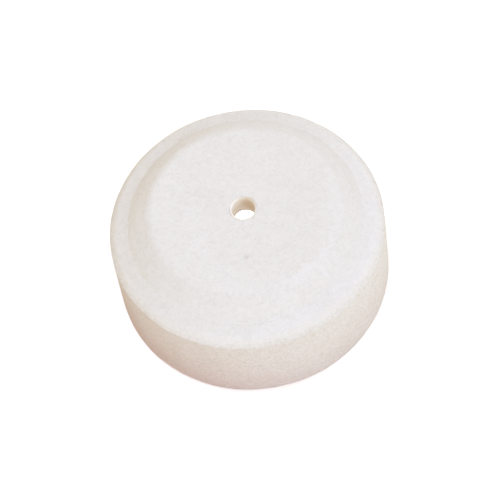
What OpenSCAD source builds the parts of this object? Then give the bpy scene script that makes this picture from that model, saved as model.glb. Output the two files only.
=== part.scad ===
// Felt polishing wheel for a lapidary arbor.
// A drum of glued felt rings carries a thinner felt disc on its face. The disc has a
// bevelled shoulder and a bush-lined arbor hole. The drum is open behind the disc, so
// that the arbor's inner flange can reach the back of the disc.
// The wheel lies on its back: +Z is the spindle axis, z = 0 is the back face.

/* [Drum] */
// Outside diameter of the drum
wheel_d = 152.4; // [100:0.1:203.2]
// Number of felt rings glued into the drum
ply_count = 3; // [3]
// Thickness of one felt ring
ply_t = 19.05; // [16:0.05:25.4]
// Diameter of the cavity through the drum
cavity_d = 88.9; // [70:0.1:100]
// Width of the nearly flat land on the drum's face, outside the disc's foot
land_w = 7.5; // [4:0.1:9]
// Fall of that land from the disc's foot to its outer edge
land_drop = 1.25; // [0.5:0.05:2.5]
// Fall of the whole rim, from the disc's foot to the top of the straight side
rim_drop = 6.35; // [4:0.05:8]
// Radius of the rounding on the drum's outer corners
corner_r = 3.0; // [1:0.5:3.5]

/* [Face disc] */
// Thickness of the raised face disc
disc_t = 12.7; // [10:0.1:16]
// Diameter of the disc at its foot, where it meets the drum
disc_foot_d = 130.0; // [110:0.5:132]
// Width of the sloping shoulder, measured along the face
shoulder_w = 12.4; // [8:0.1:16]
// How far in from the foot the shoulder's slope eases
ease_w = 5.5; // [3:0.1:7]
// Height above the foot where the shoulder's slope eases
ease_h = 7.05; // [4:0.05:9]

/* [Arbor bush] */
// Bore of the bush, for a half-inch arbor
arbor_d = 12.7; // [12.7]
// Wall thickness of the bush
bush_wall = 1.2; // [1:0.1:2]

/* [Hidden] */
$fn = 180;

wheel_r = wheel_d / 2;
cavity_r = cavity_d / 2;
foot_r = disc_foot_d / 2;
land_r = foot_r + land_w;
drum_h = ply_count * ply_t;
land_z = drum_h - land_drop;
side_h = drum_h - rim_drop;
bush_r = arbor_d / 2 + bush_wall;
// Slack past a face, so that a cut leaves no skin
past = 1;

// Half-section of the whole drum: flat back, straight side, and round the disc's foot a
// land with a chamfer outside it. The corners at both ends of the side are rounded.
module drum_section() {
    chamfer_angle = atan((land_z - side_h) / (wheel_r - land_r));
    // The upper corner is a circle that touches both the side and the chamfer
    upper_z = side_h - corner_r * tan((90 - chamfer_angle) / 2);
    touch_r = wheel_r - corner_r + corner_r * sin(chamfer_angle);
    touch_z = upper_z + corner_r * cos(chamfer_angle);
    polygon([
        [cavity_r, 0],
        [wheel_r - corner_r, 0],
        [wheel_r - corner_r, corner_r],
        [wheel_r, corner_r],
        [wheel_r, upper_z],
        [wheel_r - corner_r, upper_z],
        [touch_r, touch_z],
        [land_r, land_z],
        [foot_r, drum_h],
        [cavity_r, drum_h]
    ]);
    translate([wheel_r - corner_r, corner_r])
        circle(r = corner_r);
    translate([wheel_r - corner_r, upper_z])
        circle(r = corner_r);
}

// One ring of the stack, counted from 1 at the back
module drum_ply(level) {
    color("linen")
        rotate_extrude()
            intersection() {
                drum_section();
                translate([0, (level - 1) * ply_t])
                    square([wheel_r + past, ply_t]);
            }
}

// Raised disc on the drum's face. Its shoulder is steep at the foot and eases above it.
module face_disc() {
    color("floralwhite")
        translate([0, 0, drum_h])
            rotate_extrude()
                polygon([
                    [bush_r, 0],
                    [foot_r, 0],
                    [foot_r - ease_w, ease_h],
                    [foot_r - shoulder_w, disc_t],
                    [bush_r, disc_t]
                ]);
}

// Thin sleeve that lines the arbor hole, flush with both sides of the disc
module arbor_bush() {
    color("tan")
        translate([0, 0, drum_h])
            difference() {
                cylinder(r = bush_r, h = disc_t);
                translate([0, 0, -past])
                    cylinder(d = arbor_d, h = disc_t + 2 * past);
            }
}

drum_ply(1);  // drum_ply_1
drum_ply(2);  // drum_ply_2
drum_ply(3);  // drum_ply_3
face_disc();
arbor_bush();
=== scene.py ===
"""Felt polishing wheel: the felt, the bush, the floor, the lights and the camera.

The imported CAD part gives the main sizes. Each piece is a closed body of revolution. The
felt's skin is roughened in the mesh by noise that depends on place alone, and beside a
joint both pieces move the same way, so that glued pieces still meet.
"""

import math

import bpy
import numpy as np
from mathutils import Matrix, Vector


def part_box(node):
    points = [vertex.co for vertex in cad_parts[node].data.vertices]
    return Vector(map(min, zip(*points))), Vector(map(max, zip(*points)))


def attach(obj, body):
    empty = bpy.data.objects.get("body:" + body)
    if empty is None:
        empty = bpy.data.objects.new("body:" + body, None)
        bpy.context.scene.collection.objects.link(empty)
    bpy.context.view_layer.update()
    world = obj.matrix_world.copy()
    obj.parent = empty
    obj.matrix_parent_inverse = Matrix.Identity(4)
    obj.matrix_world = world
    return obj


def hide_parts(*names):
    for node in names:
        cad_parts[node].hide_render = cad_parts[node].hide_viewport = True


MM = 0.001
TAU = 2 * math.pi
# Points this close count as the same place
SAME = 0.02 * MM
# A CAD node's points this close to a height count as being at it
LEVEL_SLACK = 0.05 * MM

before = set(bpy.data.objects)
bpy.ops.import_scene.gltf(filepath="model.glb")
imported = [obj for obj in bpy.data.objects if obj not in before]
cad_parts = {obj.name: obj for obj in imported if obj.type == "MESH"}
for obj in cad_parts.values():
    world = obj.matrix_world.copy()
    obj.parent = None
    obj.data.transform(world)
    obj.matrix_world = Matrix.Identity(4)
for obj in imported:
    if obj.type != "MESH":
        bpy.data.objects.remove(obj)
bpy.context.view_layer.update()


# ---------------------------------------------------------------- sizes from the CAD


def node_points(node):
    """A CAD node's points as distances from the spindle axis, and heights."""
    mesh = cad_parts[node].data
    co = np.empty(len(mesh.vertices) * 3)
    mesh.vertices.foreach_get("co", co)
    co = co.reshape(-1, 3)
    return np.hypot(co[:, 0], co[:, 1]), co[:, 2]


def radius_at(node, z, pick):
    """The node's smallest or largest radius at height z."""
    r, height = node_points(node)
    return float(pick(r[np.abs(height - z) < LEVEL_SLACK]))


PLIES = sorted(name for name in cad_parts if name.startswith("drum_ply"))
DRUM_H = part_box(PLIES[-1])[1].z
TOP_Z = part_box("face_disc")[1].z
WHEEL_R = float(node_points(PLIES[0])[0].max())
CAVITY_R = float(node_points(PLIES[0])[0].min())
FOOT_R = radius_at("face_disc", DRUM_H, max)
CROWN_R = radius_at("face_disc", TOP_Z, max)
BUSH_R = radius_at("face_disc", DRUM_H, min)
BORE_R = float(node_points("arbor_bush")[0].min())
# Driving dimensions of part.scad that can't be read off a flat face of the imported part
EASE_W, EASE_H = 5.5 * MM, 7.05 * MM
LAND_W, LAND_DROP = 7.5 * MM, 1.25 * MM
RIM_DROP = 6.35 * MM
# Where the disc's shoulder eases, and the outer edge of the land round its foot
EASE_R, EASE_Z = FOOT_R - EASE_W, DRUM_H + EASE_H
LAND_R, LAND_Z = FOOT_R + LAND_W, DRUM_H - LAND_DROP
# Height of the straight side, if the corner above it were sharp
SIDE_H = DRUM_H - RIM_DROP
# Heights of the glue seams that show on the drum's side
SEAMS = [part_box(node)[0].z for node in PLIES[1:]]


# ---------------------------------------------------------------- outlines

# An arc has at least this many steps, however small it is
LEAST_ARC_STEPS = 4


def line(a, b, step):
    """Points from a to b, about step apart, leaving out b."""
    n = max(1, round(math.dist(a, b) / step))
    return [(a[0] + (b[0] - a[0]) * i / n, a[1] + (b[1] - a[1]) * i / n) for i in range(n)]


def arc_at(corner, back, ahead, radius, step):
    """Points of the arc of that radius that touches both sides of a corner."""
    here = np.array(corner)
    back, ahead = np.array(back) - here, np.array(ahead) - here
    back /= np.linalg.norm(back)
    ahead /= np.linalg.norm(ahead)
    half = math.acos(float(np.clip(back @ ahead, -1, 1))) / 2
    centre = here + (back + ahead) / np.linalg.norm(back + ahead) * radius / math.sin(half)
    start, stop = (here + way * radius / math.tan(half) for way in (back, ahead))
    first = math.atan2(*(start - centre)[::-1])
    turn = math.remainder(math.atan2(*(stop - centre)[::-1]) - first, TAU)
    n = max(LEAST_ARC_STEPS, round(abs(turn) * radius / step))
    angles = [first + turn * k / n for k in range(n + 1)]
    return [tuple(centre + radius * np.array([math.cos(a), math.sin(a)])) for a in angles]


def rounded(corners, arc_step):
    """A closed outline through corners given as (r, z, rounding, step to the next)."""
    n = len(corners)
    arcs = []
    for i, (r, z, radius, _) in enumerate(corners):
        if radius:
            before, after = corners[i - 1][:2], corners[(i + 1) % n][:2]
            arcs.append(arc_at((r, z), before, after, radius, arc_step))
        else:
            arcs.append([(r, z)])
    points = []
    for i, arc in enumerate(arcs):
        points += arc[:-1]
        points += line(arc[-1], arcs[(i + 1) % n][0], corners[i][3])
    return np.array(points)


# ---------------------------------------------------------------- noise


def lattice(ix, iy, iz, seed):
    """A repeatable number from -1 to 1 for each whole-number point."""
    # Large multipliers and shifts, which scatter the bits of neighbouring points
    h = (ix * 374761393 + iy * 668265263 + iz * 2147483647 + seed * 974634777) & 0xFFFFFFFF
    h = ((h ^ (h >> 13)) * 1274126177) & 0xFFFFFFFF
    h = ((h ^ (h >> 16)) * 2246822519) & 0xFFFFFFFF
    return (h & 0xFFFFFF) / float(0x7FFFFF) - 1


def noise(points, size, seed):
    """Smooth noise of about that grain size, from -1 to 1, at each point."""
    p = points / size
    cell = np.floor(p).astype(np.int64)
    t = p - cell
    # Eased, so that the noise stays smooth from cell to cell
    t = t * t * t * (t * (6 * t - 15) + 10)
    total = np.zeros(len(p))
    for corner in range(8):
        d = np.array([corner & 1, corner >> 1 & 1, corner >> 2 & 1])
        weight = np.prod(np.where(d, t, 1 - t), axis=1)
        at = cell + d
        total += weight * lattice(at[:, 0], at[:, 1], at[:, 2], seed)
    return total


# ---------------------------------------------------------------- meshes

# (grain size, height) of each layer of the skin's roughness
FELT_SKIN = ((24 * MM, 0.16 * MM), (7 * MM, 0.08 * MM), (2.2 * MM, 0.05 * MM))
BUSH_SKIN = ((3 * MM, 0.02 * MM),)
# A small dent in the face, and how far it reaches
DENT = Vector((-3.1 * MM, -30.3 * MM, TOP_Z))
DENT_REACH = 1.3 * MM
DENT_DEPTH = 0.3 * MM
# How far the darkening round the dent reaches
DENT_DARK_REACH = 1.6 * DENT_REACH
# On one side the felt has been pressed up round the disc's foot: the way to that side,
# how far the felt is raised, where, and how far that reaches along the radius and up
SWELL_WAY = np.array([-0.97, -0.24])
SWELL = 2.0 * MM
SWELL_R = FOOT_R - 3 * MM
SWELL_REACH = 4.8 * MM
SWELL_RISE = 6.0 * MM
# Points this close to a seam move with it
SEAM_BESIDE = 0.2 * MM
# Faces that meet at more than this are shaded with an edge between them
SHARP_ANGLE = math.radians(50)


def outward(outline):
    """The outline's unit normals, pointing out of the piece, and its signed area."""
    ahead = np.roll(outline, -1, axis=0) - outline
    behind = outline - np.roll(outline, 1, axis=0)
    tangent = ahead / np.linalg.norm(ahead, axis=1)[:, None]
    tangent += behind / np.linalg.norm(behind, axis=1)[:, None]
    tangent /= np.linalg.norm(tangent, axis=1)[:, None]
    r, z = outline.T
    area = 0.5 * np.sum(r * np.roll(z, -1) - np.roll(r, -1) * z)
    return np.stack([tangent[:, 1], -tangent[:, 0]], axis=1) * math.copysign(1, area), area


def joined(outline, normal):
    """Turns the normals beside a joint to the way in which both of its pieces move."""
    r, z = outline.T
    for seam in SEAMS:
        beside = np.abs(z - seam) < SEAM_BESIDE
        normal[beside & (r > FOOT_R)] = (1, 0)
        normal[beside & (r < FOOT_R)] = (-1, 0)
    foot = np.hypot(r - FOOT_R, z - DRUM_H) < SAME
    normal[foot] = (0, 1)
    return normal


def swept(values, turn):
    """An outline's (r, z) values turned to every angle, as rows of x, y, z."""
    r, z = values.T
    c, s = np.cos(turn)[:, None], np.sin(turn)[:, None]
    return np.stack([c * r, s * r, np.ones_like(c) * z], -1).reshape(-1, 3)


def swell(co):
    """How far each point is raised where the felt has been pressed up."""
    r = np.hypot(co[:, 0], co[:, 1])
    side = np.clip(co[:, :2] @ SWELL_WAY / np.maximum(r, MM), 0, 1) ** 4
    across = np.exp(-(((r - SWELL_R) / SWELL_REACH) ** 2))
    return SWELL * side * across * np.exp(-(((co[:, 2] - DRUM_H) / SWELL_RISE) ** 2))


def turned(name, outline, skin, around, smooth_at=None):
    """A closed body of revolution, roughened except where smooth_at is 1."""
    n = len(outline)
    turn = np.arange(around) * TAU / around
    normal, area = outward(outline)
    co, out = swept(outline, turn), swept(joined(outline, normal), turn)
    rise = np.zeros(len(co))
    for layer, (grain, height) in enumerate(skin):
        rise += height * noise(co, grain, layer)
    if smooth_at is not None:
        rise *= np.tile(1.0 - smooth_at(outline), around)
    rise -= DENT_DEPTH * np.exp(-(np.linalg.norm(co - np.array(DENT), axis=1) / DENT_REACH) ** 2)
    co += out * rise[:, None]
    co[:, 2] = np.maximum(co[:, 2] + swell(co), 0)
    i, i_next = np.arange(around)[:, None] * n, np.roll(np.arange(around), -1)[:, None] * n
    j, j_next = np.arange(n)[None, :], np.roll(np.arange(n), -1)[None, :]
    quads = np.stack([i + j, i_next + j, i_next + j_next, i + j_next], -1).reshape(-1, 4)
    if area < 0:
        quads = quads[:, ::-1]
    mesh = bpy.data.meshes.new(name)
    mesh.vertices.add(len(co))
    mesh.vertices.foreach_set("co", co.ravel())
    mesh.loops.add(quads.size)
    mesh.loops.foreach_set("vertex_index", quads.ravel().astype(np.int32))
    mesh.polygons.add(len(quads))
    mesh.polygons.foreach_set("loop_start", np.arange(0, quads.size, 4, dtype=np.int32))
    mesh.polygons.foreach_set("use_smooth", np.ones(len(quads), bool))
    mesh.update(calc_edges=True)
    mesh.validate()
    mesh.set_sharp_from_angle(angle=SHARP_ANGLE)
    piece = bpy.data.objects.new(name, mesh)
    bpy.context.collection.objects.link(piece)
    return piece


# ---------------------------------------------------------------- materials

# A colour Mix node's sockets go by number, because their names repeat
MIX_A, MIX_B, MIX_RESULT = 6, 7, 2
# How steeply a hair's line falls away, and how softly it ends
HAIR_FALL, HAIR_SOFT = 22.0, 0.1
# The shoulder is darkened with painted shade up to this height, and the painted shade fades over
# this much more
SHOULDER_SHADE_TOP, SHOULDER_SHADE_FADE = TOP_Z - 1.6 * MM, 1.5 * MM
# Above the side, its rough cut fades over this height
CUT_FADE = 4 * MM


class Nodes:
    """A new node material, with short ways to add to its tree."""

    def __init__(self, name):
        self.material = bpy.data.materials.new(name)
        self.material.use_nodes = True
        self.tree = self.material.node_tree
        self.shader = self.tree.nodes["Principled BSDF"]
        self.place = self.tree.nodes.new("ShaderNodeTexCoord").outputs["Object"]

    def link(self, source, target):
        self.tree.links.new(source, target)

    def set(self, **values):
        """Sets the shader's sockets; an underscore in a key stands for a space."""
        for key, value in values.items():
            self.shader.inputs[key.replace("_", " ")].default_value = value

    def noise(self, scale, detail=4.0, roughness=0.55, distortion=0.0):
        node = self.tree.nodes.new("ShaderNodeTexNoise")
        node.inputs["Scale"].default_value = scale
        node.inputs["Detail"].default_value = detail
        node.inputs["Roughness"].default_value = roughness
        node.inputs["Distortion"].default_value = distortion
        self.link(self.place, node.inputs["Vector"])
        return node.outputs["Fac"]

    def math(self, operation, *values):
        """A math node whose inputs are numbers or sockets."""
        node = self.tree.nodes.new("ShaderNodeMath")
        node.operation = operation
        for socket, value in zip(node.inputs, values):
            if isinstance(value, (int, float)):
                socket.default_value = value
            else:
                self.link(value, socket)
        return node.outputs[0]

    def vector_math(self, operation, other=(0, 0, 0)):
        """A number worked out from the place of each point."""
        node = self.tree.nodes.new("ShaderNodeVectorMath")
        node.operation = operation
        node.inputs[1].default_value = other
        self.link(self.place, node.inputs[0])
        return node.outputs["Value"]

    def height(self, start, span):
        """0 at the height start and 1 a span above it."""
        split = self.tree.nodes.new("ShaderNodeSeparateXYZ")
        self.link(self.place, split.inputs[0])
        return self.math("DIVIDE", self.math("SUBTRACT", split.outputs["Z"], start), span)

    def hairs(self, scale, distortion):
        """Thin wandering lines, 1 on a line and 0 away from it."""
        centred = self.math("SUBTRACT", self.noise(scale, 2, 0.5, distortion), 0.5)
        folded = self.math("ABSOLUTE", centred)
        fall = self.math("MULTIPLY_ADD", folded, -HAIR_FALL, 1.0)
        return self.math("SMOOTH_MAX", fall, 0.0, HAIR_SOFT)

    def ramp(self, factor, stops):
        """A colour ramp with stops of (position, colour)."""
        node = self.tree.nodes.new("ShaderNodeValToRGB")
        elements = node.color_ramp.elements
        while len(elements) < len(stops):
            elements.new(0.5)
        for element, (position, colour) in zip(elements, stops):
            element.position = position
            element.color = (*colour, 1)
        self.link(factor, node.inputs["Fac"])
        return node.outputs["Color"]

    def multiplied(self, first, *others):
        """Colours multiplied together."""
        for other in others:
            node = self.tree.nodes.new("ShaderNodeMix")
            node.data_type = "RGBA"
            node.blend_type = "MULTIPLY"
            node.inputs["Factor"].default_value = 1.0
            self.link(first, node.inputs[MIX_A])
            self.link(other, node.inputs[MIX_B])
            first = node.outputs[MIX_RESULT]
        return first

    def bump(self, height, strength, distance):
        node = self.tree.nodes.new("ShaderNodeBump")
        node.inputs["Strength"].default_value = strength
        node.inputs["Distance"].default_value = distance
        self.link(height, node.inputs["Height"])
        self.link(node.outputs["Normal"], self.shader.inputs["Normal"])


def dent_darkening(nodes):
    """Darker in and round the dent."""
    away = nodes.vector_math("DISTANCE", DENT)
    far = nodes.math("DIVIDE", away, DENT_DARK_REACH)
    return nodes.ramp(far, [(0.15, (0.86, 0.84, 0.81)), (1.0, (1, 1, 1))])


def shoulder_painted_shade(nodes):
    """Painted shade: the disc's shoulder is darker than its face."""
    up = nodes.height(SHOULDER_SHADE_TOP, SHOULDER_SHADE_FADE)
    # Painted shade, darkening the disc below a little under its top
    return nodes.ramp(up, [(0, (0.972, 0.968, 0.964)), (1, (1, 1, 1))])


def cut_side(nodes):
    """The drum's side is cut to size, so its fibres stand rougher there than on the rim."""
    rough, above = nodes.noise(700, 3, 0.7, 0.8), nodes.height(SIDE_H, CUT_FADE)
    speckle = nodes.math("MAXIMUM", rough, above)
    return nodes.ramp(speckle, [(0.38, (0.90, 0.883, 0.86)), (0.56, (1, 1, 1))])


def felt(name, light, dark, *marks):
    """Pressed wool: a faint mottle, matted tufts and fine crossing hairs, and any marks."""
    nodes = Nodes(name)
    patches = nodes.noise(55, 3, 0.5, 0.3)
    tufts = nodes.noise(420, 4, 0.6, 1.2)
    long_hairs = nodes.hairs(420, 1.6)
    short_hairs = nodes.hairs(900, 2.2)
    broad = nodes.ramp(patches, [(0.32, dark), (0.68, light)])
    fine = nodes.ramp(tufts, [(0.32, (0.93, 0.925, 0.915)), (0.62, (1, 1, 1))])
    matted = nodes.math("ADD", long_hairs, short_hairs)
    thread = nodes.ramp(matted, [(0.0, (0.95, 0.945, 0.938)), (0.9, (1, 1, 1))])
    extra = [mark(nodes) for mark in marks]
    nodes.link(nodes.multiplied(broad, fine, thread, *extra), nodes.shader.inputs["Base Color"])
    relief = nodes.math("MULTIPLY_ADD", matted, 0.35, tufts)
    nodes.bump(relief, strength=0.7, distance=0.3 * MM)
    nodes.set(Roughness=0.95, Specular_IOR_Level=0.12, Sheen_Weight=0.12, Sheen_Roughness=0.6)
    return nodes.material


# Where the bush is browner most, on its right and back: partly a stain and partly painted shade
# with a warm reflected tint
BORE_STAIN_AND_SHADE = Vector((4.2 * MM, 5.2 * MM, TOP_Z - 5.5 * MM))
BORE_STAIN_AND_SHADE_REACH = 11.5 * MM
# How far up from the bore's lower end the painted shade reaches
BORE_FOOT_SHADE_RISE = 2.2 * MM


def bush_fibre(name):
    """Ivory-tan fibre sleeve, a little browner in patches."""
    nodes = Nodes(name)
    patches = nodes.noise(160, 3, 0.6, 0.4)
    grain = nodes.noise(2200, 3, 0.6, 0.5)
    base = nodes.ramp(patches, [(0.34, (0.90, 0.85, 0.76)), (0.64, (0.95, 0.92, 0.86))])
    speckle = nodes.ramp(grain, [(0.3, (0.93, 0.92, 0.91)), (0.65, (1, 1, 1))])
    # Browner on one side of the bore, partly from a stain and partly from painted shade, and
    # darkened with painted shade at its lower end
    stain_and_shade = nodes.ramp(
        nodes.math("DIVIDE", nodes.vector_math("DISTANCE", BORE_STAIN_AND_SHADE), BORE_STAIN_AND_SHADE_REACH),
        [(0.25, (0.68, 0.57, 0.42)), (0.85, (1, 1, 1))],
    )
    # Painted shade at the bore's lower end, where it meets the cavity
    bore_foot_shade = nodes.ramp(
        nodes.height(DRUM_H, BORE_FOOT_SHADE_RISE),
        [(0.15, (0.36, 0.32, 0.26)), (0.8, (1, 1, 1))],
    )
    nodes.link(nodes.multiplied(base, speckle, stain_and_shade, bore_foot_shade), nodes.shader.inputs["Base Color"])
    nodes.bump(grain, strength=0.4, distance=0.1 * MM)
    nodes.set(Roughness=0.7)
    return nodes.material


FELT_DRUM = felt("drum_felt", (0.955, 0.938, 0.917), (0.932, 0.912, 0.886), cut_side)
# The face disc's felt is darker round the dent and has painted shade on its shoulder
FELT_FACE = felt("face_felt", (0.965, 0.948, 0.929), (0.943, 0.924, 0.899), dent_darkening, shoulder_painted_shade)
BUSH_TAN = bush_fibre("bush_fibre")


def finished(piece, node, material):
    """Gives a piece its material, hides the CAD node that it stands for, and hangs it under the
    root body.
    """
    piece.data.materials.append(material)
    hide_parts(node)
    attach(piece, "root")


# ---------------------------------------------------------------- the felt

# Points round a felt piece, and their spacing along its rounded edges
AROUND = 720
ARC_STEP = 0.4 * MM
# Spacing of an outline's points on outer faces, in glue joints and inside the cavity
SHOWN, GLUED, INSIDE = 0.65 * MM, 4.0 * MM, 1.2 * MM
# The same on the drum's back, the disc's face, its joint to the drum and its back
BACK_STEP, FACE_STEP, FOOT_STEP, HIDDEN_STEP = SHOWN * 1.3, 0.95 * MM, 1.8 * MM, 2.4 * MM
# Rounding of the drum's corners, the land's outer edge, the disc's shoulder, the seams'
# edges and the edges of the disc's hole
EDGE_ROUND = 3.0 * MM
LAND_ROUND = 5.0 * MM
CROWN_ROUND = 9.0 * MM
SEAM_ROUND = 0.12 * MM
HOLE_ROUND = 0.4 * MM
# Inside this distance of an edge, a glued face is as rough as the skin that it meets
GLUE_MARGIN = 0.6 * MM


def glued_at(*bands):
    """Says where an outline lies in a glue joint given as (z, lowest r, highest r)."""

    def smooth_at(outline):
        r, z = outline.T
        inside = [(np.abs(z - at) < SAME) & (r > low) & (r < high) for at, low, high in bands]
        return np.any(inside, axis=0).astype(float)

    return smooth_at


def drum_ply(node, first, last):
    """One ring of the stack. The first has the back's corners, the last has the rim."""
    low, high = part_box(node)[0].z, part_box(node)[1].z
    if last:
        rim = [
            (WHEEL_R, SIDE_H, EDGE_ROUND, SHOWN),
            (LAND_R, LAND_Z, LAND_ROUND, SHOWN),
            (FOOT_R, high, 0, FOOT_STEP),
        ]
    else:
        rim = [(WHEEL_R, high, SEAM_ROUND, GLUED)]
    outline = rounded(
        [
            (CAVITY_R, low, SEAM_ROUND, BACK_STEP if first else GLUED),
            (WHEEL_R, low, EDGE_ROUND if first else SEAM_ROUND, SHOWN),
            *rim,
            (CAVITY_R, high, SEAM_ROUND, INSIDE),
        ],
        ARC_STEP,
    )
    outer = FOOT_R if last else WHEEL_R
    joints = [(high, CAVITY_R + GLUE_MARGIN, outer - GLUE_MARGIN)]
    if not first:
        joints.append((low, CAVITY_R + GLUE_MARGIN, WHEEL_R - GLUE_MARGIN))
    ring = turned(node + "_felt", outline, FELT_SKIN, AROUND, glued_at(*joints))
    finished(ring, node, FELT_DRUM)


def face_disc():
    """The raised disc. Its shoulder is steep at the foot, eases, and rounds over softly."""
    outline = rounded(
        [
            (BUSH_R, DRUM_H, HOLE_ROUND, HIDDEN_STEP),
            (CAVITY_R, DRUM_H, 0, FOOT_STEP),
            (FOOT_R, DRUM_H, 0, SHOWN),
            (EASE_R, EASE_Z, CROWN_ROUND, SHOWN),
            (CROWN_R, TOP_Z, CROWN_ROUND, FACE_STEP),
            (BUSH_R, TOP_Z, HOLE_ROUND, INSIDE),
        ],
        ARC_STEP,
    )
    joint = glued_at((DRUM_H, CAVITY_R, FOOT_R - GLUE_MARGIN))
    disc = turned("face_disc_felt", outline, FELT_SKIN, AROUND, joint)
    finished(disc, "face_disc", FELT_FACE)


for node in PLIES:
    drum_ply(node, node == PLIES[0], node == PLIES[-1])
face_disc()


# ---------------------------------------------------------------- the arbor bush

# The bush's mouth is worn round, so that it looks wide only from across the hole
MOUTH_ROUND = 0.85 * MM
LIP_ROUND = 0.3 * MM
BUSH_AROUND = 128
BUSH_STEP, BUSH_ARC_STEP = 1.0 * MM, 0.1 * MM


def arbor_bush():
    """The thin sleeve that lines the hole."""
    outline = rounded(
        [
            (BORE_R, DRUM_H, LIP_ROUND, BUSH_STEP),
            (BUSH_R, DRUM_H, LIP_ROUND, BUSH_STEP),
            (BUSH_R, TOP_Z, LIP_ROUND, BUSH_STEP),
            (BORE_R, TOP_Z, MOUTH_ROUND, BUSH_STEP),
        ],
        BUSH_ARC_STEP,
    )
    bush = turned("arbor_bush_fibre", outline, BUSH_SKIN, BUSH_AROUND)
    finished(bush, "arbor_bush", BUSH_TAN)


arbor_bush()


# ---------------------------------------------------------------- floor

FLOOR_HALF = 4.0
# The colour that the floor shows the camera, and the warmer one that it throws on the wheel
FLOOR_PALE = (0.92, 0.92, 0.92)
FLOOR_BOUNCE = (0.87, 0.80, 0.57)
# A painted shadow, seen only by the light that the floor throws on the wheel: close to the wheel,
# and furthest out on its left, the floor throws this darker, redder colour
FLOOR_PAINTED_SHADOW = (0.50, 0.14, 0.0)
SHADE_CENTRE = (-42 * MM, -6 * MM, 0)
SHADE_REACH = 75 * MM
# Glow that only the camera sees, which thins the wheel's shadow, and glow in the cavity
CAMERA_GLOW = 0.35
CAVITY_GLOW = 1.6


def floor():
    """A pale, even floor to the camera. On the wheel it throws a painted shadow, and it glows with
    painted light where it lies inside the drum's cavity.
    """
    half = FLOOR_HALF
    mesh = bpy.data.meshes.new("floor")
    corners = [(-half, -half, 0), (half, -half, 0), (half, half, 0), (-half, half, 0)]
    mesh.from_pydata(corners, [], [(0, 1, 2, 3)])
    obj = bpy.data.objects.new("floor", mesh)
    bpy.context.collection.objects.link(obj)
    nodes = Nodes("floor_paper")
    nodes.set(Roughness=0.9, Specular_IOR_Level=0.0, Emission_Color=(1, 1, 1, 1))
    seen = nodes.tree.nodes.new("ShaderNodeLightPath").outputs["Is Camera Ray"]
    pale = nodes.tree.nodes.new("ShaderNodeMix")
    pale.data_type = "RGBA"
    pale.inputs[MIX_B].default_value = (*FLOOR_PALE, 1)
    nodes.link(seen, pale.inputs["Factor"])
    # Painted shadow: the colour that the floor throws on the wheel is darker and redder close to it
    away = nodes.math("SUBTRACT", nodes.vector_math("DISTANCE", SHADE_CENTRE), WHEEL_R)
    out = nodes.math("DIVIDE", away, SHADE_REACH)
    nodes.link(nodes.ramp(out, [(0, FLOOR_PAINTED_SHADOW), (1, FLOOR_BOUNCE)]), pale.inputs[MIX_A])
    nodes.link(pale.outputs[MIX_RESULT], nodes.shader.inputs["Base Color"])
    # Painted light: inside the cavity the floor glows, lighting the bore from below and showing
    # white through the hole
    inside = nodes.math("LESS_THAN", nodes.vector_math("LENGTH"), CAVITY_R)
    lit = nodes.math("MULTIPLY", inside, CAVITY_GLOW)
    glow = nodes.math("MULTIPLY_ADD", seen, CAMERA_GLOW, lit)
    nodes.link(glow, nodes.shader.inputs["Emission Strength"])
    obj.data.materials.append(nodes.material)


floor()


# ---------------------------------------------------------------- lights

AIM = Vector((0, 0, 0.6 * DRUM_H))
LAMP_SIZE = 0.9
LAMP_DISTANCE = 1.2
# Cool lamps all round and a warm room: neutral on top, cream where only the room reaches
LAMP_COLOUR = (0.805, 1.02, 1.51)
ROOM_COLOUR = (0.51, 0.365, 0.085)
# (name, azimuth, elevation, watts)
LAMPS = (
    ("front", 0, 22, 4.0),
    ("front_high", 0, 55, 2.1),
    ("right", 60, 22, 2.5),
    ("back_right", 120, 22, 5.0),
    ("back_left", 240, 55, 5.1),
    ("front_left", 330, 22, 1.0),
    ("back", 180, 22, 0.65),
)


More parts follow.
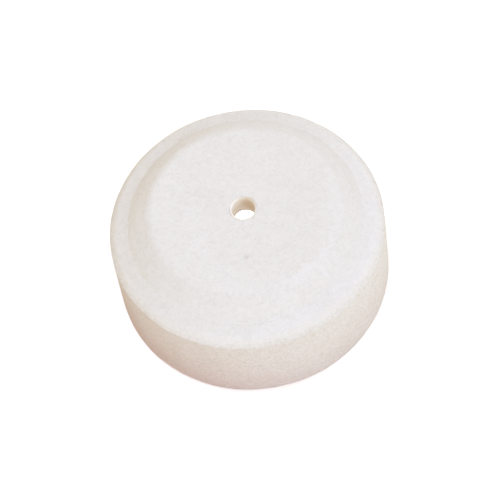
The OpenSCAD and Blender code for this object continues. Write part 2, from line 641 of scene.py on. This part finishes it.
def softbox(name, azimuth, elevation, power):
    """A square lamp aimed at the wheel. Azimuth 0 is over the camera, 90 is the right."""
    data = bpy.data.lights.new(name, "AREA")
    data.size = LAMP_SIZE
    data.energy = power
    data.color = LAMP_COLOUR
    lamp = bpy.data.objects.new(name, data)
    bpy.context.collection.objects.link(lamp)
    a, e = math.radians(azimuth), math.radians(elevation)
    away = Vector((math.sin(a) * math.cos(e), -math.cos(a) * math.cos(e), math.sin(e)))
    lamp.location = AIM + away * LAMP_DISTANCE
    lamp.visible_camera = False
    lamp.rotation_mode = "QUATERNION"
    lamp.rotation_quaternion = (-away).to_track_quat("-Z", "Y")


for name, azimuth, elevation, power in LAMPS:
    softbox(name, azimuth, elevation, power)


def room():
    """Even light from all round, which the camera sees as white."""
    world = bpy.data.worlds.new("studio")
    world.use_nodes = True
    tree = world.node_tree
    seen = tree.nodes.new("ShaderNodeLightPath").outputs["Is Camera Ray"]
    colour = tree.nodes.new("ShaderNodeMix")
    colour.data_type = "RGBA"
    colour.inputs[MIX_A].default_value = (*ROOM_COLOUR, 1)
    colour.inputs[MIX_B].default_value = (1, 1, 1, 1)
    tree.links.new(seen, colour.inputs["Factor"])
    tree.links.new(colour.outputs[MIX_RESULT], tree.nodes["Background"].inputs["Color"])
    bpy.context.scene.world = world


room()


# ---------------------------------------------------------------- camera

CAMERA_ELEVATION = math.radians(59.05)
CAMERA_ROLL = math.radians(-10.5)
CAMERA_DISTANCE = 18 * WHEEL_R
# How far the camera and its aim lie along X, a little left of the spindle axis
CAMERA_SIDE = -0.55 * MM
CAMERA_AIM = Vector((CAMERA_SIDE, 0, 24.4 * MM))
# Millimetres, as Blender takes them
CAMERA_LENS, CAMERA_SENSOR = 179.2, 36.0

camera = bpy.data.objects.new("camera", bpy.data.cameras.new("camera"))
bpy.context.collection.objects.link(camera)
away = Vector((0, -math.cos(CAMERA_ELEVATION), math.sin(CAMERA_ELEVATION)))
camera.location = Vector((CAMERA_SIDE, 0, SIDE_H)) + away * CAMERA_DISTANCE
look = (CAMERA_AIM - camera.location).to_track_quat("-Z", "Y").to_matrix().to_4x4()
camera.rotation_mode = "QUATERNION"
camera.rotation_quaternion = (look @ Matrix.Rotation(CAMERA_ROLL, 4, "Z")).to_quaternion()
camera.data.lens = CAMERA_LENS
camera.data.sensor_width = CAMERA_SENSOR
bpy.context.scene.camera = camera
bpy.context.scene.view_settings.view_transform = "Standard"
